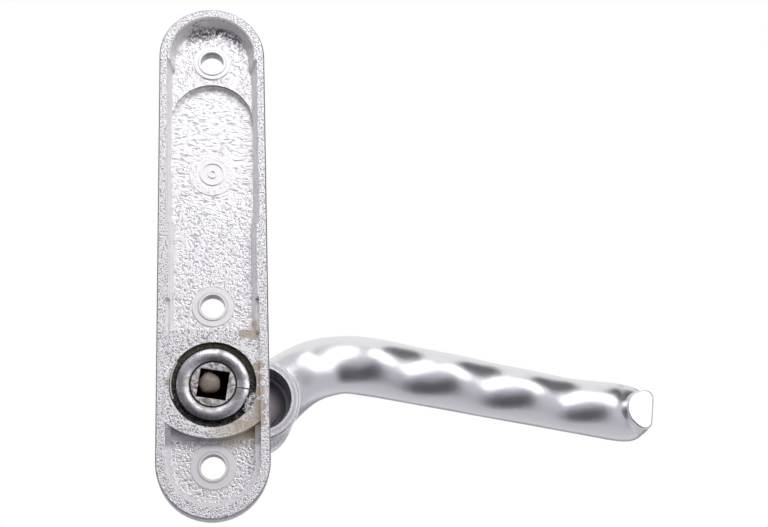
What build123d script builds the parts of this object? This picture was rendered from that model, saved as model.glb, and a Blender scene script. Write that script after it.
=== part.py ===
# Balcony door handle: a long cast backplate, seen from its hollow back, and a cranked lever
# that turns in it. Millimetres. The origin is on the spindle's axis, in the plane of the
# plate's rim that lies on the door. +X points along the lever, +Z up, and +Y out of the
# door: the plate's hollow back faces -Y and the lever stands in front of it, at +Y.
from build123d import *
from math import cos, pi, radians, sin
import os

os.makedirs("parts", exist_ok=True)

# Backplate: outline
plate_width = 35.0
plate_top = 130.2              # above the spindle's axis
plate_bottom = 41.8            # below it
plate_thickness = 12.0
front_edge_radius = 4.0
rim_edge_chamfer = 0.4

# Backplate: the hollow back
rim_width = 2.9                # beside the middle of the hollow
rim_width_top_end = 3.4        # the wall is thicker round the top screw
rim_width_lobe = 2.5           # and thinner beside the lobe pocket
top_rim = 2.7                  # rim at the round top end
bottom_rim = 3.6               # rim at the round bottom end
floor_depth = 6.5
bottom_floor_depth = 6.0
wall_draft = 15.0              # degrees
lobe_depth = 9.0
lobe_width = 27.2
lobe_top = 105.0
lobe_bottom = 59.5
land_depth = 1.5               # the land round the spindle hole, just under the rim
land_top = 17.0
land_foot = 16.9               # its lower edge is an arc this far below the spindle
land_foot_radius = 23.0
ledge_depth = 3.0
ledge_width = 1.1
ledge_foot = 15.5               # the narrow ledges beside the middle screw start here
ledge_top = 28.0
bottom_step_width = 1.7        # the step that follows the round bottom end

# Backplate: screws and the blind boss
screw_hole_radius = 3.9
countersink_radius = 5.6
countersink_angle = 90.0
boss_height = 0.6
boss_ring_height = 0.35
boss_ring_width = 0.75
top_screw = 113.0
middle_screw = 26.4
bottom_screw = -25.2
top_boss_radius = 6.0
middle_boss_radius = 6.5
bottom_boss_radius = 6.9
blind_boss = 73.4
blind_boss_radius = 7.6
blind_boss_height = 0.3
blind_ring_radius = 4.2
blind_ring_width = 0.7
blind_ring_height = 0.5
blind_dimple_radius = 0.8

# The turning parts in the plate
spindle_hole_radius = 13.45
sleeve_wall = 3.2
sleeve_rear = 3.4              # depth of the sleeve's rear face below the rim plane
running_clearance = 0.05
ring_radius = 11.5
ring_inner_radius = 7.3
ring_thickness = 1.8
ring_crown = 0.55
ring_split_angle = 2.0
clip_width = 2.6
clip_thickness = 0.45
clip_gap = 0.15
clip_start = 148.0             # degrees round the spindle, from +X towards +Z
clip_sweep = 52.0
lug_start = -42.0              # the cast stop lug in the hole's wall
lug_sweep = 30.0
lug_width = 1.0

# Lever: hub, crank and collar
droop = 9.3                    # the lever hangs this far below level
spindle_square = 9.2
spindle_depth = 20.0
hub_rear = 1.5                 # depth of the hub's end under the rim plane
crank = 14.8                   # from the spindle's axis to the neck's axis
plate_gap = 0.3                # between the plate's front and the lever's collar
link_depth = 15.0              # depth of the solid web between the hub and the neck
link_edge_radius = 3.5
collar_radius = 12.85
collar_wall = 2.5
collar_lip_width = 0.6         # a fine ring stands proud at the collar's mouth
collar_lip_height = 0.25
rim_height = 1.4               # the collar's rim, then a groove, then its flange
rim_rounding = 0.35
groove_height = 0.6
groove_radius = 12.4
flange_radius = 13.35
flange_height = 3.4
cup_depth = 11.7
cup_disc_radius = 7.45
cup_disc_height = 0.8
hub_wall_radius = 11.4         # round boss over the spindle, beside the open collar

# Lever: neck and arm
neck_radius = 12.3
bend_rise = 13.0               # the neck turns into the arm over this depth
arm_depth = 45.0               # of the arm's centre line under the rim plane
arm_half_height = 10.35        # where the arm starts
arm_half_thickness = 8.0
arm_start = 46.0               # along the lever, from the spindle's axis
arm_end = 139.2
finger_start = 24.0            # the waves fade in from here
finger_pitch = 27.3
finger_crest = 108.4           # place of one crest along the lever
finger_height = 1.38           # above and below the plain arm
finger_tilt = 0.44             # the waves are higher by this share at the arm's upper edge
finger_shear = 0.15            # and their crests lean, this far along for each mm up
tip_length = 12.5              # the arm's end is rounded over this length
tip_squareness = 3.2           # power of the curve that rounds it
tip_pad_rise = 2.1             # a D-shaped pad with a flat face stands on the tip
tip_pad_length = 9.2
tip_pad_half_height = 7.5
tip_pad_corner = 3.0
tip_pad_inset = 0.6            # its face lies this far inside the rounded end
tip_pad_slope = 2.4            # its round side spreads this much down to the arm
tip_pad_edge_radius = 0.7

# The neck bends out of its straight part and up into the arm. All shares run from 0 at the
# straight neck to 1 at the arm.
neck_stations = [
    # beyond the crank, height, share of depth, turn, heading, shares of half height, thickness
    (0.2, 0.0, 0.0, 0.0, 40.0, 0.0, 0.0),
    (0.4, 1.2, 0.55, 28.0, 40.0, -0.4, -0.1),
    (3.5, 6.2, 0.88, 50.0, 40.0, 0.22, 0.36),
    (6.6, 10.6, 0.97, 69.0, 40.0, 0.45, 0.77),
    (11.4, 15.7, 1.0, 88.0, 39.0, 0.77, 0.905),
    (16.2, 19.3, 1.0, 90.0, 33.0, 0.88, 0.94),
    (21.8, 21.9, 1.0, 90.0, 24.0, 0.95, 0.98),
]
# The arm's centre line sags a little, and its height narrows towards the tip
arm_stations = [
    # share of the arm's length, height above the lever's axis, share of the half height
    (0.0, 23.9, 1.0),
    (0.095, 23.85, 1.0),
    (0.286, 23.05, 0.981),
    (0.55, 21.85, 0.952),
    (0.804, 20.75, 0.928),
    (1.0, 20.6, 0.986),
]

# Worked out from the sizes above
half_width = plate_width / 2
sleeve_inner_radius = spindle_hole_radius - sleeve_wall
journal_radius = sleeve_inner_radius - running_clearance
collar_rear = plate_thickness + plate_gap
neck_straight = arm_depth - bend_rise
cup_floor = collar_rear + cup_depth


# The lever's own frame hangs at the droop angle. A plane in it faces the door.
lever_x = Vector(cos(radians(droop)), 0, -sin(radians(droop)))
lever_up = Vector(sin(radians(droop)), 0, cos(radians(droop)))
outwards = Vector(0, 1, 0)
rim_plane = Plane(origin=(0, 0, 0), x_dir=(1, 0, 0), z_dir=(0, -1, 0))
lever_plane = Plane(origin=(0, 0, 0), x_dir=lever_x, z_dir=(0, -1, 0))


def at_depth(plane, depth):
    """The plane moved out of the door, so that it lies this deep under the plate's rim."""
    return plane.offset(-depth)


def place(along, height, depth):
    """A point in the lever's own frame."""
    return lever_x * along + lever_up * height + outwards * depth


def smooth_value(x, stations, column):
    """A smooth curve through one column of the stations, with slopes from the neighbours."""
    count = len(stations)
    i = max(0, min(count - 2, sum(1 for s in stations[1:-1] if s[0] <= x)))
    first, second = stations[i], stations[i + 1]
    before, after = stations[max(i - 1, 0)], stations[min(i + 2, count - 1)]
    span = second[0] - first[0]
    t = (x - first[0]) / span
    slope_a = (second[column] - before[column]) / (second[0] - before[0]) * span
    slope_b = (after[column] - first[column]) / (after[0] - first[0]) * span
    rise = second[column] - first[column]
    return (first[column] + t * slope_a
            + t * t * (3 * rise - 2 * slope_a - slope_b)
            + t * t * t * (slope_a + slope_b - 2 * rise))


# Backplate: one casting, hollow at the back
def stadium(width, top, bottom):
    """A slot standing upright on the current sketch plane, between two heights."""
    with Locations((0, (top + bottom) / 2)):
        SlotOverall(top - bottom, width, rotation=90)


with BuildPart() as backplate:
    with BuildSketch(at_depth(rim_plane, plate_thickness)):
        stadium(plate_width, plate_top, -plate_bottom)
    extrude(amount=plate_thickness)
    front_face = backplate.faces().sort_by(Axis.Y)[-1]
    fillet(front_face.edges(), front_edge_radius)
    rear_face = backplate.faces().sort_by(Axis.Y)[0]
    chamfer(rear_face.edges(), rim_edge_chamfer)

    # The upper hollow, with a round top end, drafted walls and a thinner wall by the lobe
    upper_half = half_width - rim_width
    with BuildSketch(rim_plane):
        stadium(2 * (half_width - rim_width_top_end), plate_top - top_rim, land_top - half_width)
        with Locations((0, land_top - half_width)):
            Rectangle(plate_width, plate_width, mode=Mode.SUBTRACT)
    extrude(amount=-floor_depth, taper=wall_draft, mode=Mode.SUBTRACT)
    with BuildSketch(rim_plane):
        with Locations((0, (lobe_top + lobe_bottom) / 2)):
            Rectangle(2 * (half_width - rim_width_lobe), lobe_top - lobe_bottom + 2 * floor_depth)
    extrude(amount=-floor_depth, taper=wall_draft, mode=Mode.SUBTRACT)

    # The lobe pocket is deeper, with upright walls
    with BuildSketch(rim_plane):
        stadium(lobe_width, lobe_top, lobe_bottom)
    extrude(amount=-lobe_depth, mode=Mode.SUBTRACT)

    # The land round the spindle hole lies just under the rim
    with BuildSketch(rim_plane):
        stadium(2 * upper_half, ledge_top, bottom_rim - plate_bottom)
    extrude(amount=-land_depth, mode=Mode.SUBTRACT)

    # The bottom hollow, under the arc of the land, in two steps
    for depth, inset in ((ledge_depth, 0.0), (bottom_floor_depth, bottom_step_width)):
        with BuildSketch(rim_plane):
            stadium(2 * (upper_half - inset), half_width, bottom_rim + inset - plate_bottom)
            with Locations((0, land_foot_radius - land_foot)):
                Circle(land_foot_radius, mode=Mode.SUBTRACT)
            with Locations((0, half_width)):
                Rectangle(plate_width, plate_width, mode=Mode.SUBTRACT)
        extrude(amount=-depth, mode=Mode.SUBTRACT)

    # Narrow ledges beside the middle screw
    for side in (-1, 1):
        with BuildSketch(rim_plane):
            with Locations((side * (upper_half - ledge_width / 2), (ledge_top + ledge_foot) / 2)):
                Rectangle(ledge_width, ledge_top - ledge_foot)
        extrude(amount=-ledge_depth, mode=Mode.SUBTRACT)

    # Each screw has a low round boss, with a finer raised ring at the hole's mouth
    for height, radius, depth in (
        (top_screw, top_boss_radius, floor_depth),
        (middle_screw, middle_boss_radius, floor_depth),
        (bottom_screw, bottom_boss_radius, bottom_floor_depth),
    ):
        with BuildSketch(at_depth(rim_plane, depth)):
            with Locations((0, height)):
                Circle(radius)
        extrude(amount=boss_height)
        with BuildSketch(at_depth(rim_plane, depth - boss_height)):
            with Locations((0, height)):
                Circle(screw_hole_radius + boss_ring_width)
        extrude(amount=boss_ring_height)
    with BuildSketch(at_depth(rim_plane, lobe_depth)):
        with Locations((0, blind_boss)):
            Circle(blind_boss_radius)
    extrude(amount=blind_boss_height)
    with BuildSketch(at_depth(rim_plane, lobe_depth - blind_boss_height)):
        with Locations((0, blind_boss)):
            Circle(blind_ring_radius)
            Circle(blind_ring_radius - blind_ring_width, mode=Mode.SUBTRACT)
            Circle(blind_dimple_radius * 2)
            Circle(blind_dimple_radius, mode=Mode.SUBTRACT)
    extrude(amount=blind_ring_height)

    # The hole that the hub turns in, and the screws' countersunk holes
    with BuildSketch(at_depth(rim_plane, plate_thickness)):
        Circle(spindle_hole_radius)
    extrude(amount=plate_thickness, mode=Mode.SUBTRACT)
    front_plane = Plane(origin=(0, plate_thickness, 0), x_dir=(-1, 0, 0), z_dir=(0, 1, 0))
    with Locations(front_plane):
        with Locations((0, top_screw), (0, middle_screw), (0, bottom_screw)):
            CounterSinkHole(screw_hole_radius, countersink_radius, counter_sink_angle=countersink_angle)

    # The cast lug in the hole's wall that stops the ring
    with BuildSketch(at_depth(rim_plane, sleeve_rear)):
        Circle(spindle_hole_radius + 0.5)
        Circle(spindle_hole_radius - lug_width, mode=Mode.SUBTRACT)
        with BuildLine():
            reach = 2 * spindle_hole_radius
            lug_end = lug_start + lug_sweep
            Polyline(
                (0, 0),
                (reach * cos(radians(lug_start)), reach * sin(radians(lug_start))),
                (reach * cos(radians(lug_end)), reach * sin(radians(lug_end))),
                close=True,
            )
        make_face(mode=Mode.INTERSECT)
    extrude(amount=sleeve_rear - land_depth)
backplate.part.label = "backplate"
export_step(backplate.part, "parts/backplate.step")


# Bearing sleeve: a plain bush between the plate and the hub
with BuildPart() as bearing_sleeve:
    with BuildSketch(at_depth(rim_plane, plate_thickness)):
        Circle(spindle_hole_radius)
        Circle(sleeve_inner_radius, mode=Mode.SUBTRACT)
    extrude(amount=plate_thickness - sleeve_rear)
bearing_sleeve.part.label = "bearing_sleeve"
export_step(bearing_sleeve.part, "parts/bearing_sleeve.step")

# Retaining ring: a crowned split ring on the hub's end, which keeps the lever in the plate
ring_front = sleeve_rear - running_clearance
ring_rear = ring_front - ring_thickness
with BuildPart() as retaining_ring:
    with BuildSketch(Plane.XY):
        with BuildLine():
            Polyline(
                (ring_inner_radius, ring_rear),
                (ring_inner_radius, ring_front),
                (ring_radius, ring_front),
                (ring_radius, ring_rear),
            )
            ThreePointArc(
                (ring_radius, ring_rear),
                ((ring_inner_radius + ring_radius) / 2, ring_rear - ring_crown),
                (ring_inner_radius, ring_rear),
            )
        make_face()
    revolve(axis=Axis.Y)
    with BuildSketch(at_depth(lever_plane, ring_front)):
        with BuildLine():
            reach = 2 * ring_radius
            half_split = radians(ring_split_angle / 2)
            Polyline(
                (0, 0),
                (reach * cos(half_split), reach * sin(half_split)),
                (reach * cos(half_split), -reach * sin(half_split)),
                close=True,
            )
        make_face()
    extrude(amount=ring_thickness + 2 * ring_crown, mode=Mode.SUBTRACT)
retaining_ring.part.label = "retaining_ring"
export_step(retaining_ring.part, "parts/retaining_ring.step")


# Sleeve clip: a curved strip of spring steel on the sleeve's rear face, against the hole's wall
with BuildPart() as sleeve_clip:
    with BuildSketch(at_depth(rim_plane, sleeve_rear)):
        clip_radius = spindle_hole_radius - clip_gap - clip_thickness / 2
        with BuildLine():
            CenterArc((0, 0), clip_radius, clip_start, clip_sweep)
            offset(amount=clip_thickness / 2, side=Side.BOTH)
        make_face()
    extrude(amount=clip_width)
sleeve_clip.part.label = "sleeve_clip"
export_step(sleeve_clip.part, "parts/sleeve_clip.step")


# Lever: sections along the neck, the waved arm and the tip that turns back to the door
def wave_at(along):
    """Height of the finger wave, which fades in over half a pitch."""
    fade = max(0.0, min(1.0, (along - finger_start) / (finger_pitch / 2)))
    return finger_height * fade * cos(2 * pi * (along - finger_crest) / finger_pitch)


def section_outline(half_height, half_thickness, along=None):
    """Points round an oval section. At a place along the arm, the side to the door swells and
    sinks with the finger wave."""
    points = []
    for step in range(section_points):
        angle = 2 * pi * step / section_points
        up = half_height * cos(angle)
        back = half_thickness * sin(angle)
        if back > 0 and along is not None:
            wave = wave_at(along - finger_shear * up)
            back *= 1 + wave / half_thickness * (1 + finger_tilt * up / half_height)
        points.append((up, back))
    return points


section_points = 18
arm_steps = 22
tip_steps = 6
sections = []

for beyond, height, sink, turn, heading, height_share, thickness_share in neck_stations:
    # the tangent turns from straight out of the door to the arm's heading
    flat = sin(radians(turn))
    tangent = place(flat * cos(radians(heading)), flat * sin(radians(heading)), cos(radians(turn)))
    across = place(-sin(radians(heading)), cos(radians(heading)), 0)
    depth = neck_straight + bend_rise * sink
    half_height = neck_radius + (arm_half_height - neck_radius) * height_share
    half_thickness = neck_radius + (arm_half_thickness - neck_radius) * thickness_share
    plane = Plane(origin=place(crank + beyond, height, depth), x_dir=across, z_dir=tangent)
    sections.append((plane, section_outline(half_height, half_thickness, crank + beyond)))

for step in range(arm_steps + 1):
    share = step / arm_steps
    along = arm_start + (arm_end - arm_start) * share
    height = smooth_value(share, arm_stations, 1)
    half_height = arm_half_height * smooth_value(share, arm_stations, 2)
    plane = Plane(origin=place(along, height, arm_depth), x_dir=lever_up, z_dir=lever_x)
    sections.append((plane, section_outline(half_height, arm_half_thickness, along)))

# The arm's end is rounded: each section is smaller than the last
tip_height = arm_stations[-1][1]
tip_half_height = arm_half_height * arm_stations[-1][2]
for step in range(1, tip_steps + 1):
    share = sin(radians(82 * step / tip_steps))
    size_share = (1 - share ** tip_squareness) ** (1 / tip_squareness)
    along = arm_end + tip_length * share
    plane = Plane(origin=place(along, tip_height, arm_depth), x_dir=lever_up, z_dir=lever_x)
    outline = section_outline(tip_half_height * size_share, arm_half_thickness * size_share)
    sections.append((plane, outline))

# The pad at the tip: half an oval towards the hand, straight at the end, with a flat face
pad_face = arm_depth - arm_half_thickness - tip_pad_rise
pad_end = arm_end + tip_length - tip_pad_inset
with BuildPart() as tip_pad:
    for depth, spread in ((arm_depth - arm_half_thickness / 2, tip_pad_slope), (pad_face, 0.0)):
        with BuildSketch(Plane(origin=place(pad_end, tip_height, depth), x_dir=lever_x, z_dir=-outwards)):
            Ellipse(tip_pad_length + spread, tip_pad_half_height + spread / 3)
            with Locations((-tip_pad_length, 0)):
                Rectangle(2 * tip_pad_length, 4 * tip_pad_half_height, mode=Mode.INTERSECT)
            fillet(vertices(), tip_pad_corner)
    loft()
    fillet(tip_pad.faces().sort_by(Axis.Y)[0].edges(), tip_pad_edge_radius)

with BuildPart() as lever:
    # The crank: a solid web that carries both the hub and the neck, in front of the plate
    with BuildSketch(at_depth(lever_plane, collar_rear + link_depth)):
        with Locations((crank / 2, 0)):
            SlotCenterToCenter(crank, 2 * neck_radius)
    extrude(amount=link_depth)
    fillet(lever.faces().sort_by(Axis.Y)[-1].edges(), link_edge_radius)

    # The straight neck
    with BuildSketch(at_depth(lever_plane, neck_straight)):
        with Locations((crank, 0)):
            Circle(neck_radius)
    extrude(amount=neck_straight - collar_rear)

    # The bend and the waved arm with its rounded end, then the pad
    for plane, points in sections:
        with BuildSketch(plane):
            with BuildLine():
                Spline(*points, periodic=True)
            make_face()
    loft()
    add(tip_pad.part)

    # The collar round the neck: rim, groove and flange
    neck_axis = Axis(place(crank, 0, 0), outwards)
    flange_rear = collar_rear + rim_height + groove_height
    with BuildSketch(Plane(origin=place(crank, 0, 0), x_dir=lever_x, z_dir=lever_up)):
        with BuildLine():
            Polyline(
                (0, flange_rear + flange_height + flange_radius - neck_radius),
                (neck_radius, flange_rear + flange_height + flange_radius - neck_radius),
                (flange_radius, flange_rear + flange_height),
                (flange_radius, flange_rear),
                (groove_radius, flange_rear),
                (groove_radius, collar_rear + rim_height),
                (collar_radius, collar_rear + rim_height),
                (collar_radius, collar_rear + rim_rounding),
                (collar_radius - rim_rounding, collar_rear),
                (0, collar_rear),
                close=True,
            )
        make_face()
    revolve(axis=neck_axis)

    # The collar is open to the door, beside the round boss over the spindle
    with BuildSketch(at_depth(lever_plane, collar_rear)):
        with Locations((crank, 0)):
            Circle(collar_radius - collar_wall)
        Circle(hub_wall_radius, mode=Mode.SUBTRACT)
    extrude(amount=-cup_depth, mode=Mode.SUBTRACT)
    with BuildSketch(at_depth(lever_plane, cup_floor)):
        with Locations((crank, 0)):
            Circle(cup_disc_radius)
        Circle(hub_wall_radius, mode=Mode.SUBTRACT)
    extrude(amount=cup_disc_height)
    with BuildSketch(at_depth(lever_plane, collar_rear)):
        with Locations((crank, 0)):
            Circle(collar_radius - collar_wall + collar_lip_width)
            Circle(collar_radius - collar_wall, mode=Mode.SUBTRACT)
        Circle(hub_wall_radius, mode=Mode.SUBTRACT)
    extrude(amount=min(collar_lip_height, plate_gap / 2))

    # The hub's journal turns in the sleeve, and its spigot carries the ring
    with BuildSketch(at_depth(lever_plane, collar_rear)):
        Circle(journal_radius)
    extrude(amount=collar_rear - ring_front)
    with BuildSketch(at_depth(lever_plane, ring_front)):
        Circle(ring_inner_radius - running_clearance)
    extrude(amount=ring_front - hub_rear)

    # The blind square for the spindle
    with BuildSketch(at_depth(lever_plane, hub_rear)):
        Rectangle(spindle_square, spindle_square)
    extrude(amount=-spindle_depth, mode=Mode.SUBTRACT)
lever.part.label = "lever"
export_step(lever.part, "parts/lever.step")

for name in (backplate, bearing_sleeve, retaining_ring, sleeve_clip, lever):
    print(name.part.label, len(name.part.solids()), round(name.part.volume, 1), name.part.bounding_box())
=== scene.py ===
# %% [markdown]
# # A balcony door handle, seen from its hollow back
#
# The handle is two castings that turn against each other: a long plate, hollow at the back,
# and a lever with waves for the fingers. The model of both arrives as a fixed frame. This
# lesson gives each surface its finish, adds what only a surface has, such as grease and
# stains, and lights and frames the whole as a studio would.

# %% Load the frame and keep its size
import math

import bpy
import numpy as np
from mathutils import Matrix, Vector


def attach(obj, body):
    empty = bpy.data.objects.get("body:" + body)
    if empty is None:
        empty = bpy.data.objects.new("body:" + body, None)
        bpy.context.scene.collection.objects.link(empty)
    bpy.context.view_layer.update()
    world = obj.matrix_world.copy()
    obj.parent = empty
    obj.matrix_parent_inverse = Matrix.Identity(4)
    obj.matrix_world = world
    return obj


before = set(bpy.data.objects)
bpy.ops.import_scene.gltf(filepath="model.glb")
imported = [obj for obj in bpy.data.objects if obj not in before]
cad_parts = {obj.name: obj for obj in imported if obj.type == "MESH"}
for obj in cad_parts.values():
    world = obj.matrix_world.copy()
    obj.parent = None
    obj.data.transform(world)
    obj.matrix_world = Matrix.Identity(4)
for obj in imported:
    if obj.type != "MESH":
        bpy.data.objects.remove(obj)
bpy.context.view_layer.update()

# %% [markdown]
# ## The camera
#
# The photograph looks at the back of the handle from a little below it. The camera's place
# and lens were worked out from the plate's straight sides and the round holes: a lens of
# 61 mm on a 36 mm sensor, about 41 cm away. A camera could be turned by hand until the view
# fits. Here the directions are known, so its matrix is written from them: each column of the
# matrix is one direction, and the last one is the place.

# %% Place the camera
def placed(right, up, back, place):
    """The matrix of an object, from its three directions and its place."""
    return Matrix((
        (right[0], up[0], back[0], place[0]),
        (right[1], up[1], back[1], place[1]),
        (right[2], up[2], back[2], place[2]),
        (0, 0, 0, 1),
    ))


camera_place = Vector((0.000863, -0.39756, -0.09207))
camera_right = Vector((0.99169, -0.12109, -0.04348))
camera_up = Vector((0.00341, -0.31313, 0.94970))
camera_back = camera_right.cross(camera_up)

camera_data = bpy.data.cameras.new("camera")
camera_data.lens = 60.94
camera_data.sensor_width = 36.0
camera_data.clip_start = 0.01
camera = bpy.data.objects.new("camera", camera_data)
bpy.context.scene.collection.objects.link(camera)
camera.matrix_world = placed(camera_right, camera_up, camera_back, camera_place)
bpy.context.scene.camera = camera
print("camera looks along", [round(-v, 3) for v in camera_back])

# %% [markdown]
# ## The studio
#
# Shiny metal shows the room, so a photographer builds a small room for it: white all round,
# a grey tent behind the camera, grey cards behind the object, and one long soft lamp inside
# the tent. The camera sees none of them, only the white. Walls and a ceiling could be built,
# but all that counts is the direction in which the metal sees them. So the tent and the cards
# are parts of a sphere round the handle, and angles say where each of them lies.

# %% Helpers for meshes and for directions
def add_mesh(name, points, faces):
    """Puts points and faces into a new smooth object of the scene."""
    mesh = bpy.data.meshes.new(name)
    mesh.from_pydata(points, [], faces)
    mesh.shade_smooth()
    made = bpy.data.objects.new(name, mesh)
    bpy.context.scene.collection.objects.link(made)
    print(name, len(mesh.vertices), "points", len(mesh.polygons), "faces")
    return made


def grid_mesh(name, points):
    """Makes a mesh from points[i, j] = (x, y, z): each cell of the grid is one face."""
    rows, columns = points.shape[:2]
    i, j = np.arange(rows - 1)[:, None], np.arange(columns - 1)[None, :]
    corners = np.stack([i * columns + j, (i + 1) * columns + j,
                        (i + 1) * columns + j + 1, i * columns + j + 1], axis=-1)
    return add_mesh(name, points.reshape(-1, 3), corners.reshape(-1, 4))


def sight(azimuth, elevation):
    """Direction as seen from the handle, in degrees: azimuth 0 is -Y and 90 is +X."""
    a, e = np.radians(azimuth), np.radians(elevation)
    return np.stack([np.sin(a) * np.cos(e), -np.cos(a) * np.cos(e), np.sin(e)], axis=-1)


def sphere_part(azimuths, elevations, steps):
    """A grid of directions between two azimuths and two elevations, in this many steps each."""
    return sight(*np.meshgrid(np.linspace(*azimuths, steps[0]),
                              np.linspace(*elevations, steps[1]), indexing="ij"))


studio_centre = np.array([0.06, 0.0, 0.02])
print("the studio stands round", studio_centre)

# %% [markdown]
# ## The tent
#
# The tent is grey cloth, hung behind the camera. The metal of the lever bends so much that
# each finger wave mirrors a large part of it. The dark ovals in the waves are two darker
# pieces of the cloth, one at the lower left and one at the upper right. The grey could be an
# image, but a soft patch is only a few sums, so it is written into the corners of the mesh as
# a colour.

# %% A helper for matt materials, and the tent's shape
tinge = np.array((1.0, 0.985, 1.035))       # the studio's greys lean a little towards blue


def matt_material(name, colour):
    """A plain matt finish of one colour."""
    material = bpy.data.materials.new(name)
    material.use_nodes = True
    shader = material.node_tree.nodes["Principled BSDF"]
    shader.inputs["Base Color"].default_value = (*colour, 1)
    shader.inputs["Roughness"].default_value = 0.9
    shader.inputs["Specular IOR Level"].default_value = 0.2
    return material


tent_radius = 1.0
tent_directions = sphere_part((-100, 100), (-66, 66), (81, 53))
tent = grid_mesh("tent", studio_centre + tent_radius * tent_directions)

# %% The tent's cloth
def patch(azimuth, elevation, full, none):
    """1 within full degrees of a direction, 0 beyond none, with a smooth fall between."""
    cosine = np.clip(tent_directions @ sight(azimuth, elevation), -1, 1)
    share = np.clip((none - np.degrees(np.arccos(cosine))) / (none - full), 0, 1)
    return share * share * (3 - 2 * share)


pale_cloth, lower_left_cloth, upper_right_cloth = 0.93, 0.13, 0.18
cloth = np.full(tent_directions.shape[:2], pale_cloth)
cloth += (lower_left_cloth - cloth) * patch(-20, -30, 19, 49)
cloth += (upper_right_cloth - cloth) * patch(60, 40, 22, 38)
cloth_colours = np.ones((cloth.size, 4), np.float32)
cloth_colours[:, :3] = cloth.reshape(-1, 1) * tinge
cloth_grey = tent.data.color_attributes.new("cloth_grey", "FLOAT_COLOR", "POINT")
cloth_grey.data.foreach_set("color", cloth_colours.ravel())

cloth_material = matt_material("tent_cloth", (0.5, 0.5, 0.5))
cloth_nodes = cloth_material.node_tree
cloth_attribute = cloth_nodes.nodes.new("ShaderNodeAttribute")
cloth_attribute.attribute_name = "cloth_grey"
cloth_nodes.links.new(cloth_attribute.outputs["Color"],
                      cloth_nodes.nodes["Principled BSDF"].inputs["Base Color"])
tent.data.materials.append(cloth_material)
tent.visible_camera = False
print("cloth from", round(cloth.min(), 3), "to", round(cloth.max(), 3))

# %% [markdown]
# ## The floor and the white room
#
# The handle lies on nothing in the photograph: its background is plain white. A white sheet
# could hang close behind it, but it would catch the handle's shadow. A pale floor far below
# and a white world all round show no shadow, and they also give the lever its pale edges. The
# colours of the scene are shown as they are, with Blender's Standard view.

# %% The floor and the white room
floor_height, floor_half = -0.95, 20.0
across, along = np.meshgrid((-floor_half, floor_half), (-floor_half, floor_half), indexing="ij")
floor = grid_mesh("floor", np.stack([across, along, np.full_like(across, floor_height)], axis=-1))
floor.data.materials.append(matt_material("floor_white", (0.92, 0.91, 0.93)))

world = bpy.data.worlds.new("white_room")
bpy.context.scene.world = world
world.use_nodes = True
world.node_tree.nodes["Background"].inputs["Color"].default_value = (1, 1, 1, 1)
world.node_tree.nodes["Background"].inputs["Strength"].default_value = 1.0
bpy.context.scene.view_settings.view_transform = "Standard"
print("floor at", floor_height, "m, white world round it")

# %% [markdown]
# ## The grey cards
#
# The steep inner walls of the plate and the lower edge of the lever mirror what is behind
# the object. In the photograph they are a soft grey, not white. A darker world would grey the
# background too, so three grey cards stand behind the object instead, one low and one at
# each side, and the camera is told not to see them.

# %% Grey cards behind the object, out of the camera's view
card_radius = 0.93


def card(name, azimuths, elevations, grey):
    """Part of a sphere round the handle, between two azimuths and two elevations, matt grey."""
    directions = sphere_part(azimuths, elevations, (25, 17))
    made = grid_mesh(name, studio_centre + card_radius * directions)
    made.data.materials.append(matt_material(name + "_grey", grey * tinge))
    made.visible_camera = False


card("low_card", (116, 244), (-36, -3), 0.55)
card("left_card", (-146, -106), (-30, 36), 0.55)
card("right_card", (106, 146), (-30, 36), 0.62)

# %% [markdown]
# ## The lamp
#
# A bright line weaves along the finger waves, and the neck and the pad at the tip are bright
# too. They all mirror the same thing: one long soft lamp that runs aslant from the upper left
# to the lower right. A row of small lamps would leave a row of dots in the metal. The lamp's
# two ends are given as directions, and the rectangle between them follows: as long as the
# two directions are apart, and turned to face the handle.

# %% The long soft lamp
lamp_start, lamp_end = sight(-49.2, 53.8), sight(49.5, -9.6)
lamp_distance, lamp_width, lamp_brightness = 0.80, 0.48, 1.70

lamp_middle = (lamp_start + lamp_end) / np.linalg.norm(lamp_start + lamp_end)
lamp_long = (lamp_end - lamp_start) / np.linalg.norm(lamp_end - lamp_start)
lamp_span = math.acos(float(lamp_start @ lamp_end))
lamp_length = 2 * lamp_distance * math.tan(lamp_span / 2)

lamp_data = bpy.data.lights.new("soft_lamp", "AREA")
lamp_data.shape = "RECTANGLE"
lamp_data.size, lamp_data.size_y = lamp_length, lamp_width
lamp_data.energy = lamp_brightness * math.pi * lamp_length * lamp_width
lamp = bpy.data.objects.new("soft_lamp", lamp_data)
bpy.context.scene.collection.objects.link(lamp)
lamp.matrix_world = placed(lamp_long, np.cross(lamp_middle, lamp_long), lamp_middle,
                           studio_centre + lamp_distance * lamp_middle)
print("lamp spans", round(math.degrees(lamp_span)), "degrees, length", round(lamp_length, 3), "m")

# %% [markdown]
# ## Small tools for the finishes
#
# Every finish below is a function of the place on the model, read from the object's own
# coordinates. The origin is on the spindle's axis in the plane of the plate's rim, and y is
# the depth under that rim. So a finish can say "the floor of the hollow, 6.5 mm deep" or
# "inside the spindle hole" in plain numbers. Painted images could do the same, but they would
# have to be unwrapped and made anew with every change. The first helpers add one node each.

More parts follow.
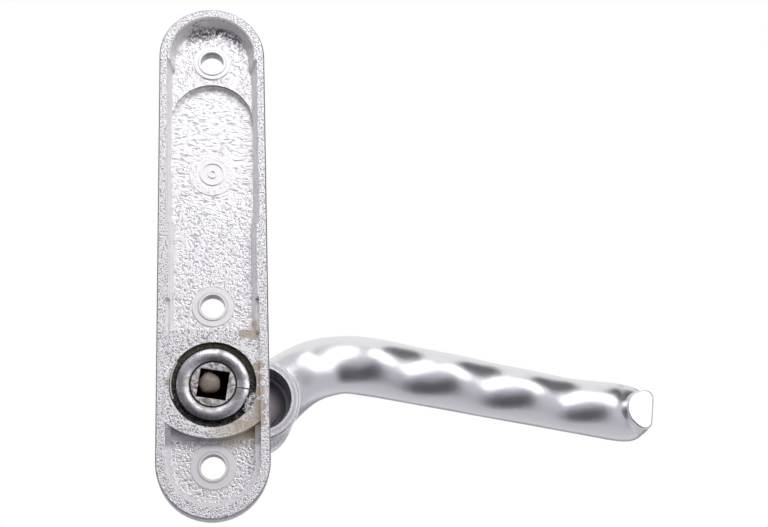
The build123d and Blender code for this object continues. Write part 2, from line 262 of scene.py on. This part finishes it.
# %% Helpers that add one node
class Nodes:
    """A material under construction, with short ways to add nodes to it."""

    def __init__(self, name):
        self.material = bpy.data.materials.new(name)
        self.material.use_nodes = True
        self.tree = self.material.node_tree
        self.shader = self.tree.nodes["Principled BSDF"]
        self.place = self.tree.nodes.new("ShaderNodeTexCoord").outputs["Object"]
        split = self.tree.nodes.new("ShaderNodeSeparateXYZ")
        self.tree.links.new(self.place, split.inputs[0])
        self.x, self.y, self.z = split.outputs

    def feed(self, socket, value):
        """Puts a number, a colour or another node's output into a socket."""
        if isinstance(value, bpy.types.NodeSocket):
            self.tree.links.new(value, socket)
        elif isinstance(value, tuple):
            socket.default_value = (*value, 1)
        else:
            socket.default_value = value

    def math(self, operation, first, second=0.0, clamp=False):
        """One sum, such as ADD or SUBTRACT."""
        node = self.tree.nodes.new("ShaderNodeMath")
        node.operation = operation
        node.use_clamp = clamp
        self.feed(node.inputs[0], first)
        self.feed(node.inputs[1], second)
        return node.outputs[0]

    def ease(self, value, low, high):
        """0 below low, 1 above high and a smooth rise between (or the reverse, if low > high)."""
        node = self.tree.nodes.new("ShaderNodeMapRange")
        node.interpolation_type = "SMOOTHSTEP"
        self.feed(node.inputs["Value"], value)
        turned = low > high
        node.inputs["From Min"].default_value = min(low, high)
        node.inputs["From Max"].default_value = max(low, high)
        node.inputs["To Min"].default_value = 1.0 if turned else 0.0
        node.inputs["To Max"].default_value = 0.0 if turned else 1.0
        return node.outputs[0]

    def noise(self, scale, detail=2.0, stretch=None, distortion=0.0):
        """Cloudy noise with this many waves a metre, stretched along the axes if asked."""
        place = self.place
        if stretch:
            node = self.tree.nodes.new("ShaderNodeMapping")
            self.feed(node.inputs["Vector"], place)
            node.inputs["Scale"].default_value = stretch
            place = node.outputs[0]
        node = self.tree.nodes.new("ShaderNodeTexNoise")
        self.feed(node.inputs["Vector"], place)
        node.inputs["Scale"].default_value = scale
        node.inputs["Detail"].default_value = detail
        node.inputs["Distortion"].default_value = distortion
        return node.outputs[0]

    def blend(self, share, first, second):
        """A colour between two colours."""
        node = self.tree.nodes.new("ShaderNodeMix")
        node.data_type = "RGBA"
        self.feed(node.inputs[0], share)
        self.feed(node.inputs[6], first)
        self.feed(node.inputs[7], second)
        return node.outputs[2]

    def mix(self, share, first, second):
        """A number between two numbers."""
        node = self.tree.nodes.new("ShaderNodeMix")
        self.feed(node.inputs[0], share)
        self.feed(node.inputs[2], first)
        self.feed(node.inputs[3], second)
        return node.outputs[0]

    def bump(self, height, millimetres):
        """Tilts the surface as if it rose by this much where height is 1."""
        node = self.tree.nodes.new("ShaderNodeBump")
        node.inputs["Distance"].default_value = millimetres / 1000
        self.feed(node.inputs["Height"], height)
        return node.outputs[0]

    def set(self, **sockets):
        """Feeds the shader's sockets; underscores stand for the spaces in their names."""
        for name, value in sockets.items():
            self.feed(self.shader.inputs[name.replace("_", " ")], value)


# %% [markdown]
# A mask is a value that is 1 where something is, and 0 elsewhere. Masks are made from depths
# and distances and then multiplied, so that only their common part is left. A distance from
# an axis alone would go right through the piece and show on its front, and that is why most
# masks below also have a limit in depth.

# %% Helpers that make masks
ramp_depth = 12.0       # mm; a list of depths reaches down to this


class Finish(Nodes):
    """Adds masks: their lengths are in millimetres, and y is the depth under the rim."""

    def product(self, first, *others):
        """Several values multiplied."""
        for other in others:
            first = self.math("MULTIPLY", first, other)
        return first

    def largest(self, first, *others):
        """The largest of several values."""
        for other in others:
            first = self.math("MAXIMUM", first, other)
        return first

    def opposite(self, mask):
        """1 where the mask is 0, and 0 where it is 1."""
        return self.math("SUBTRACT", 1.0, mask)

    def past(self, length, low, high):
        """ease for a length, with its limits in millimetres."""
        return self.ease(length, low / 1000, high / 1000)

    def between(self, start, full, end, none):
        """1 between the depths full and end, 0 before start and past none."""
        return self.product(self.past(self.y, start, full), self.past(self.y, none, end))

    def near(self, x, z, inner, outer, ragged=0.0):
        """1 within inner of an axis along y, 0 beyond outer; ragged (metres) moves the edge."""
        dx = self.math("SUBTRACT", self.x, x / 1000)
        dz = self.math("SUBTRACT", self.z, z / 1000)
        square = self.math("ADD", self.product(dx, dx), self.product(dz, dz))
        distance = self.math("ADD", self.math("SQRT", square), ragged)
        return self.past(distance, outer, inner)

    def levels(self, stops):
        """A value that steps with the depth: stops are (depth, value from there on)."""
        node = self.tree.nodes.new("ShaderNodeValToRGB")
        self.feed(node.inputs[0], self.product(self.y, 1000 / ramp_depth))
        ramp = node.color_ramp
        ramp.interpolation = "CONSTANT"
        ramp.elements.remove(ramp.elements[0])
        ramp.elements[0].position = 0.0
        ramp.elements[0].color = (stops[0][1],) * 3 + (1,)
        for depth, value in stops[1:]:
            ramp.elements.new(depth / ramp_depth).color = (value,) * 3 + (1,)
        return node.outputs[0]


def dress(node, finish):
    """Puts a finish on a piece of the model."""
    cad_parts[node].material_slots[0].material = finish.material
    print(node, "wears", finish.material.name)


# %% [markdown]
# ## The plate: rough cast silver
#
# The plate is a die casting, sprayed silver. Its floors keep the crinkle of the mould: fine
# on the rim, coarser on the floor, and drawn into level wrinkles in the long pocket, where
# the metal cooled last. The drafted walls, the bosses round the screws and the outside are
# smooth. Each floor lies at a depth of its own, so one list of depths says what is rough. It
# could be done with a material for each face, but the faces would have to be picked by hand.

# %% Where the plate is rough
sprayed_silver = (0.77, 0.765, 0.785)
screw_bosses = ((113.0, 6.2), (26.4, 6.7), (-25.2, 7.1))        # height and radius
blind_boss_height = 73.4
round_ends = (-24.3, 112.7)     # heights of the centres of the plate's round ends

cast = Finish("cast_silver")
rough_cast = cast.levels([
    (0.0, 1), (0.15, 0),                            # the rim
    (1.38, 1), (1.62, 0),                           # the land round the spindle
    (2.88, 0.15), (3.12, 0),                        # the ledges, nearly smooth
    (6.38, 1), (6.9, 0.55), (8.88, 1), (9.15, 0),   # the floor, the pocket's wall and floor
])
bottom_floor = cast.product(cast.levels([(0, 0), (5.88, 1), (6.12, 0)]),
                            cast.past(cast.z, -16.5, -17.0))

# distance from the plate's middle line, which ends at the centres of its round ends
line_point = cast.math("MAXIMUM", cast.math("MINIMUM", cast.z, round_ends[1] / 1000),
                       round_ends[0] / 1000)
aside = cast.math("SUBTRACT", cast.z, line_point)
from_line = cast.math("SQRT", cast.math("ADD", cast.product(cast.x, cast.x),
                                        cast.product(aside, aside)))
outside = cast.largest(cast.past(from_line, 17.25, 17.32), cast.past(cast.y, 9.3, 9.6))
rough_cast = cast.product(cast.largest(rough_cast, bottom_floor), cast.opposite(outside))
for boss_height, boss_radius in screw_bosses:
    boss = cast.near(0, boss_height, boss_radius - 0.2, boss_radius + 0.3)
    rough_cast = cast.product(rough_cast, cast.opposite(boss))
blind_boss = cast.near(0, blind_boss_height, 4.9, 5.2)
rough_cast = cast.product(rough_cast, cast.opposite(blind_boss))
print("smooth bosses:", len(screw_bosses) + 1)

# %% [markdown]
# The crinkle is three noises, one for each kind of floor. On the real casting it has flat
# tops with narrow creases between them, so each noise is cut off at both ends: its middle
# becomes the slopes, and all that is higher or lower becomes level. It could be geometry, but
# it stands only a tenth of a millimetre high, so it is a bump. The bottoms of the creases are
# also painted a little darker, as painted shade.

# %% The crinkle
rim_relief, floor_relief, pocket_relief, grain_relief = 0.115, 0.100, 0.115, 0.010     # mm
rim_crinkle = cast.ease(cast.noise(1700, detail=2.5, distortion=0.3), 0.32, 0.62)
floor_crinkle = cast.ease(cast.noise(1150, distortion=0.5), 0.28, 0.64)
pocket_wrinkle = cast.ease(cast.noise(800, detail=3.0, stretch=(0.70, 1, 1.25), distortion=0.5),
                           0.26, 0.68)
on_floor = cast.past(cast.y, 2.5, 2.8)
in_pocket = cast.product(cast.past(cast.y, 7.0, 8.2),
                         cast.opposite(cast.near(0, blind_boss_height, 7.4, 7.7)))
crinkle = cast.mix(in_pocket, cast.mix(on_floor, rim_crinkle, floor_crinkle), pocket_wrinkle)
crinkle_mm = cast.mix(in_pocket, cast.mix(on_floor, rim_relief, floor_relief), pocket_relief)
fine_grain = cast.product(cast.noise(5200, detail=1.0), grain_relief)
relief_mm = cast.math("ADD", cast.product(crinkle, crinkle_mm, rough_cast), fine_grain)
# painted shade: the bottoms of the creases are darker
crease_shade = cast.product(cast.ease(crinkle, 0.50, 0.05), rough_cast, cast.mix(on_floor, 0.75, 0.55))
print("crinkle in mm: rim", rim_relief, "floor", floor_relief, "pocket", pocket_relief)

# %% [markdown]
# The wall of the top end has a few ragged blobs of flash, which the mould left there. They
# could be lumps of their own, but they are flat and cling to the wall. So they are bumps too,
# each a soft disc with an edge that a slow noise pushes in and out.

# %% The flash on the top end's wall
ragged_edge = cast.product(cast.math("SUBTRACT", cast.noise(620, detail=3), 0.5), 0.0035)
flash_blobs = (     # x, z and height in mm
    (-5.0, 124.6, 1.1), (-2.6, 123.4, 1.0), (0.4, 124.0, 0.6), (-6.8, 122.4, 0.6),
)
for x, z, rise_mm in flash_blobs:
    blob = cast.product(cast.near(x, z, 0.3, 2.0, ragged_edge), cast.between(0.8, 1.6, 6.9, 7.1))
    relief_mm = cast.math("ADD", relief_mm, cast.product(blob, rise_mm))
print("blobs of flash:", len(flash_blobs))

# %% [markdown]
# Some places of the casting get painted shade, darker than the light alone makes them: the
# outer edge of the rim, the wall of the top end and the floor at its foot, the upper end of the
# pocket, the holes and the grooves round them, and the foot of the land, which gets a painted
# shadow. They could be painted by hand, but a mask keeps its place if the casting is changed
# elsewhere. Where two masks meet, the stronger one counts.

# %% Painted shade on the casting
# painted shade: each mask below darkens one place of the casting, and the land's foot gets a
# painted shadow
outer_edge_shade = cast.product(cast.past(from_line, 17.08, 17.22), cast.past(cast.y, 2.2, 1.4), 0.85)
top_end = cast.product(cast.past(cast.z, 112.5, 118.0), cast.between(0.4, 1.2, 6.7, 6.9))
top_wall_shade = cast.product(top_end, cast.past(from_line, 12.6, 13.4), 0.33)
top_foot_shade = cast.product(top_end, cast.near(1.5, 123.0, 6.0, 12.0),
                        cast.past(from_line, 10.0, 11.6), cast.past(from_line, 13.8, 13.2),
                        cast.ease(crinkle, 0.95, 0.35))
pocket_head_shade = cast.product(cast.between(6.6, 6.9, 8.5, 9.1), cast.past(cast.z, 90.0, 100.0),
                           cast.opposite(in_pocket))
land_foot_shadow = cast.product(cast.between(1.6, 2.2, 5.7, 6.2), cast.past(cast.z, -12.5, -13.5),
                         cast.past(cast.z, -20.0, -18.0), 0.62)
shade = cast.largest(outer_edge_shade, top_wall_shade, top_foot_shade, pocket_head_shade, land_foot_shadow)
# painted shade in the holes and in the grooves round them
for hole_height, _ in screw_bosses:
    hole_wall_shade = cast.product(cast.near(0, hole_height, 3.94, 3.98), 0.55)
    groove_shade = cast.math("SUBTRACT", cast.near(0, hole_height, 4.75, 5.15),
                       cast.near(0, hole_height, 4.25, 4.60))
    shade = cast.largest(shade, hole_wall_shade, cast.product(groove_shade, 0.30))
print("dark holes:", len(screw_bosses))

# %% [markdown]
# The real handle is greased where it turns. The wall of the hole is brown with it, and beige
# smudges lie round the hole, most of them at the right. Noise alone would put smudges
# anywhere, so their places are listed. Each is a soft disc with the same ragged edge as the
# flash, and a weak wash joins those under the hole. The grease isn't metal, so it also turns
# the metal off.

# %% Old grease on the plate
in_hole = cast.product(cast.near(0, 0, 13.50, 13.56), cast.past(cast.y, 0.4, 1.2))
hole_grease = cast.blend(cast.ease(cast.noise(420, detail=3), 0.42, 0.62),
                         (0.085, 0.072, 0.050), (0.22, 0.185, 0.13))
smudges = (         # x, z and radius in mm
    (10.4, 16.9, 2.0), (12.6, 16.6, 2.0), (13.0, 20.0, 0.9), (13.9, 5.5, 1.5),
    (14.1, 1.5, 1.2), (14.2, -2.5, 1.5), (14.3, -7.5, 1.9), (13.6, -11.5, 2.2),
    (11.3, -14.2, 2.4), (7.6, -13.4, 1.6), (-14.0, 0.5, 0.9),
)
smudged = cast.largest(*(cast.near(x, z, radius - 0.3, radius + 0.7, ragged_edge)
                         for x, z, radius in smudges))
wash = cast.product(cast.near(6.5, -12.5, 4.5, 9.0, ragged_edge), 0.50)
stained = cast.product(cast.largest(cast.product(smudged, 0.85), wash),
                       cast.past(cast.y, 6.9, 6.6), cast.opposite(in_hole))
print("smudges of grease:", len(smudges))

# %% [markdown]
# The plate's colour is now laid on in coats, one over another: the casting with the painted
# shade in its creases, the painted shade of the darker places, the smudges, the grease in the
# hole and last the smooth spray of the outside. One big sum could hold them all, but coats can
# be read and changed one at a time.

# %% The plate's finish, put together
# painted shade: the silver darkens in the bottoms of the creases
plate_colour = cast.blend(crease_shade, (0.97, 0.955, 0.96), (0.27, 0.27, 0.30))
# painted shade: the darker places turn the colour nearly black
plate_colour = cast.blend(shade, plate_colour, (0.20, 0.20, 0.22))
plate_colour = cast.blend(stained, plate_colour, (0.60, 0.51, 0.38))
plate_colour = cast.blend(in_hole, plate_colour, hole_grease)
smooth_outside = cast.math("SUBTRACT", outside, outer_edge_shade, clamp=True)
plate_colour = cast.blend(smooth_outside, plate_colour, sprayed_silver)
bare = cast.opposite(cast.largest(in_hole, stained))
cast.set(
    Base_Color=plate_colour,
    Metallic=cast.product(bare, cast.mix(outside, 0.55, 1.0)),
    Roughness=cast.mix(in_hole, cast.mix(rough_cast, 0.38, 0.27), 0.35),
    Normal=cast.bump(relief_mm, 1.0),
)
dress("backplate", cast)

# %% [markdown]
# ## The lever: satin silver
#
# The lever is polished and sprayed, so it is smooth metal with a fine sparkle. Its open
# collar is deep, and the wall inside mirrors little but dark, so that wall is painted a little
# lighter and bluer, as painted light. On the collar's floor is a worn, brownish disc. A painted
# highlight makes it light in its middle, and painted shade darkens it towards a nearly black
# edge and makes the floor round it charcoal. These could be pieces of their own, but the real
# one is a single casting, so they are rings of colour. The finish turns with the lever, so the
# rings are written for the place where the collar is at rest.

# %% The collar of the lever
crank, droop = 14.8, math.radians(9.3)
collar = (crank * math.cos(droop), -crank * math.sin(droop))

satin = Finish("satin_silver")
in_cup = satin.product(satin.near(*collar, 10.36, 10.42), satin.between(12.4, 13.2, 24.1, 24.3))
# painted shade: the cup's floor is charcoal, with a nearly black ring at the disc's edge
cup_floor_shade = satin.product(in_cup, satin.past(satin.y, 22.2, 22.9))
disc_edge_shade = satin.product(satin.near(*collar, 8.8, 9.5), cup_floor_shade)
on_disc = satin.product(satin.near(*collar, 8.1, 8.6), satin.between(22.9, 23.1, 24.1, 24.3))
specks = satin.ease(satin.noise(900, detail=3), 0.63, 0.68)
disc_specks_and_shading = satin.blend(specks, (0.46, 0.42, 0.43), (0.06, 0.055, 0.06))
# painted highlight and painted shade: the disc is light in its middle and dark towards its edge
disc_specks_and_shading = satin.blend(satin.near(*collar, 2.0, 8.6), (0.12, 0.11, 0.12), disc_specks_and_shading)

# painted light: the wall inside the cup is a little lighter and bluer than the silver
lever_colour = satin.blend(in_cup, sprayed_silver, (0.80, 0.80, 0.86))
lever_colour = satin.blend(cup_floor_shade, lever_colour, (0.30, 0.30, 0.34))
lever_colour = satin.blend(disc_edge_shade, lever_colour, (0.10, 0.09, 0.10))
lever_colour = satin.blend(on_disc, lever_colour, disc_specks_and_shading)
# painted reflection: the collar's rim is painted darker in its middle, so that it looks bright at
# both edges
rim_middle_shade = satin.math("SUBTRACT", satin.near(*collar, 11.85, 12.05),
                        satin.near(*collar, 10.95, 11.15))
rim_middle_shade = satin.product(rim_middle_shade, satin.past(satin.y, 13.0, 12.8), 0.6)
lever_colour = satin.blend(rim_middle_shade, lever_colour, (0.46, 0.46, 0.49))
print("collar at x, z in mm:", [round(v, 2) for v in collar])

# %% [markdown]
# The hub's end is the small round face inside the ring. On the real handle it is bare metal,
# stained, and the spindle has chipped it round the square socket. Its edge against the ring is
# painted dark, as painted shade in the gap. Two noises could make stains and chips, but one
# gives both, and then they fall together as they do on worn metal. The deep socket is painted
# black, as painted shade.

# %% The hub of the lever, and the lever's finish put together
on_hub = satin.product(satin.near(0, 0, 7.28, 7.34), satin.past(satin.y, 1.9, 1.7))
in_socket = satin.product(satin.near(0, 0, 6.75, 6.8), satin.between(1.8, 4.5, 21.8, 22.0))
hub_stain = satin.noise(650, detail=4, distortion=0.8)
hub_stains_and_shade = satin.blend(satin.ease(hub_stain, 0.40, 0.62),
                         (0.62, 0.60, 0.61), (0.27, 0.245, 0.22))
# painted shade: the hub's edge against the ring is nearly black
hub_stains_and_shade = satin.blend(satin.near(0, 0, 6.75, 7.05), (0.035, 0.03, 0.03), hub_stains_and_shade)
lever_colour = satin.blend(on_hub, lever_colour, hub_stains_and_shade)
# painted shade: the deep socket is black
lever_colour = satin.blend(in_socket, lever_colour, (0.02, 0.018, 0.014))
sparkle = satin.noise(2400)
chips = satin.product(hub_stain, on_hub, 8.0)
satin.set(
    Base_Color=lever_colour,
    Metallic=1.0,
    Roughness=satin.mix(satin.largest(in_cup, on_hub), 0.27, 0.44),
    Normal=satin.bump(satin.math("ADD", sparkle, chips), 0.06),
)
dress("lever", satin)

# %% [markdown]
# ## The ring, the sleeve and the clip
#
# The ring that holds the lever in the plate is plain steel, rubbed bright on its dome. Its
# colour is painted dark along both edges, as painted shade where it meets the hub and the
# plate. A slow noise makes its stains, which are duller than the rest, and a quick one its
# dents. Real scratches would need an image, and at this size the noise can't be told from them.

# %% The ring's finish
worn = Finish("worn_steel")
stain = worn.ease(worn.noise(260, detail=4, distortion=0.4), 0.40, 0.66)
# painted shade: the ring's inner and outer edges are nearly black
ring_edge_shade = worn.largest(worn.near(0, 0, 7.42, 7.58), worn.opposite(worn.near(0, 0, 11.18, 11.36)))
ring_colour = worn.blend(stain, (0.57, 0.56, 0.59), (0.34, 0.31, 0.31))
worn.set(
    Base_Color=worn.blend(ring_edge_shade, ring_colour, (0.05, 0.045, 0.045)),
    Metallic=1.0,
    Roughness=worn.mix(stain, 0.22, 0.36),
    Normal=worn.bump(worn.noise(900, detail=3, distortion=1.2), 0.05),
)
dress("retaining_ring", worn)

# %% [markdown]
# The sleeve behind the ring is nylon, and only its end shows in the gap. It is covered in old
# grease, brown in a thin film at the top and black elsewhere, and lumpy all over. The grease
# could be a mesh of its own, but the gap is too narrow to show more than its gloss, so a deep
# bump does. The clip beside it is a bare strip of spring steel with a fine grain.

# %% The sleeve's and the clip's finishes
greasy = Finish("greased_nylon")
lumps = greasy.noise(700, detail=3, distortion=0.6)
black = greasy.blend(greasy.ease(lumps, 0.52, 0.66), (0.012, 0.011, 0.010), (0.09, 0.08, 0.065))
brown = greasy.product(greasy.past(greasy.z, -2.0, 9.0),
                       greasy.opposite(greasy.near(0, 0, 12.1, 12.6)))
greasy.set(
    Base_Color=greasy.blend(brown, black, (0.15, 0.12, 0.08)),
    Metallic=0.0,
    Roughness=0.22,
    Normal=greasy.bump(lumps, 0.7),
)
dress("bearing_sleeve", greasy)

spring = Finish("spring_steel")
spring.set(
    Base_Color=(0.62, 0.62, 0.60),
    Metallic=1.0,
    Roughness=0.35,
    Normal=spring.bump(spring.noise(1500), 0.03),
)
dress("sleeve_clip", spring)

# %% [markdown]
# ## Grease and a torn lip
#
# Two things on the real handle are shapes, and not just colours: a drop of old grease that
# sticks in the square socket, and a rough lip of metal that the stop has torn up at the edge
# of the hole. They could be sculpted, but a few waves are quicker and come out the same each
# time. Both are an oval profile carried along a line, swelled and dented by the waves. The
# profiles of the drop follow a ball, those of the lip an arc. The drop rides on the lever and
# the lip on the plate, so each moves with the piece that it sticks to.

# %% A helper that closes both ends of a lump
def lump_mesh(name, rings, first, last):
    """Makes a closed mesh from rings[i, j], joined round j, with one point closing each end."""
    count, around = rings.shape[:2]
    i, j = np.arange(count - 1)[:, None], np.arange(around)[None, :]
    j_next = (j + 1) % around
    sides = np.stack([i * around + j, i * around + j_next,
                      (i + 1) * around + j_next, (i + 1) * around + j], axis=-1).reshape(-1, 4)
    k, last_ring = np.arange(around), (count - 1) * around
    k_next = (k + 1) % around
    top, bottom = np.full(around, count * around), np.full(around, count * around + 1)
    ends = np.concatenate([np.stack([top, k_next, k], axis=-1),
                           np.stack([bottom, last_ring + k, last_ring + k_next], axis=-1)])
    points = np.concatenate([rings.reshape(-1, 3), [first], [last]])
    # the volume inside comes out negative if the faces look inwards, and then all are turned
    triangles = np.concatenate([sides[:, [0, 1, 2]], sides[:, [0, 2, 3]], ends])
    a, b, c = (points[triangles[:, corner]] for corner in range(3))
    outward = np.einsum("ij,ij->", a, np.cross(b, c)) > 0
    order = slice(None) if outward else slice(None, None, -1)
    return add_mesh(name, points, sides[:, order].tolist() + ends[:, order].tolist())


def turns(around):
    """Angles once round a profile, in this many equal steps."""
    return np.linspace(0, 2 * math.pi, around, endpoint=False)


# %% The shape of the drop of grease
def grease_drop(centre, radii):
    """A ball of three radii whose surface rises and falls with two slow waves, mm to metres."""
    polar, turn = np.meshgrid(np.linspace(0, math.pi, 34)[1:-1], turns(48), indexing="ij")
    swell = (1 + 0.05 * np.sin(3 * turn + 2 * polar) * np.sin(polar)
             + 0.03 * np.sin(5 * turn - 1) * np.sin(polar) ** 2)
    ball = np.stack([np.sin(polar) * np.cos(turn), -np.cos(polar) * np.ones_like(turn),
                     np.sin(polar) * np.sin(turn)], axis=-1)
    centre, radii = np.array(centre), np.array(radii)
    rings = (centre + ball * swell[..., None] * radii) / 1000
    ends = [(centre + np.array([0, side * radii[1], 0])) / 1000 for side in (-1, 1)]
    return lump_mesh("grease_drop", rings, *ends)


drop = grease_drop((-1.1, 4.6, 1.15), (3.4, 2.7, 3.3))
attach(drop, "lever")

# %% [markdown]
# The grease is milky: pale lumps in a brownish jelly, with a wet gloss. Light could be let
# into it, but in the dark socket only its colour and its gloss can be seen.

# %% The finish of the drop of grease
old_grease = Finish("old_grease")
milky = old_grease.noise(500, detail=3)
old_grease.set(
    Base_Color=old_grease.blend(milky, (0.25, 0.20, 0.145), (0.44, 0.37, 0.285)),
    Roughness=0.20,
    Normal=old_grease.bump(milky, 0.25),
)
drop.data.materials.append(old_grease.material)
print("grease_drop wears", old_grease.material.name)

# %% [markdown]
# The lip at the lower right of the hole is a burr of bright torn metal with dark cracks. It
# is a shape for the same reason as the drop: it stands out over the edge of the hole and its
# outline is seen against the dark gap.

# %% The shape of the torn lip
def torn_lip(start, sweep):
    """An oval profile along an arc round the spindle, from the angle start on by sweep degrees.

    The profile fades out at both ends, and its size follows three quick waves, two of which
    also run round it. The arc's radius sways a little, and its middle rises to the rim."""
    middle_radius, middle_depth = 12.75, 1.32       # mm
    t, turn = np.meshgrid(np.linspace(0, 1, 62)[1:-1], turns(36), indexing="ij")
    fade = (1 - (2 * t - 1) ** 4) ** 0.5
    ragged = (1 + 0.22 * np.sin(23 * t + 1) + 0.14 * np.sin(47 * t + 3 * turn)
              + 0.10 * np.sin(81 * t - 4 * turn))
    angle = np.radians(start + sweep * t)
    radius = middle_radius + 0.25 * np.sin(9 * t) + 1.05 * fade * ragged * np.cos(turn)
    depth = middle_depth - 0.5 * t * (1 - t) + 0.75 * fade * ragged * np.sin(turn)
    rings = np.stack([radius * np.cos(angle), depth, radius * np.sin(angle)], axis=-1) / 1000
    first, last = (
        np.array([middle_radius * math.cos(a), middle_depth, middle_radius * math.sin(a)]) / 1000
        for a in (math.radians(start), math.radians(start + sweep)))
    return lump_mesh("torn_lip", rings, first, last)


lip = torn_lip(-43.0, 30.0)
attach(lip, "plate")

# %% The finish of the torn lip
torn = Finish("torn_metal")
tears = torn.noise(1300, detail=3, distortion=1.0)
torn.set(
    Base_Color=torn.blend(torn.ease(tears, 0.40, 0.56), (0.12, 0.12, 0.13), (0.85, 0.84, 0.86)),
    Metallic=1.0,
    Roughness=0.34,
    Normal=torn.bump(tears, 0.35),
)
lip.data.materials.append(torn.material)
print("torn_lip wears", torn.material.name)
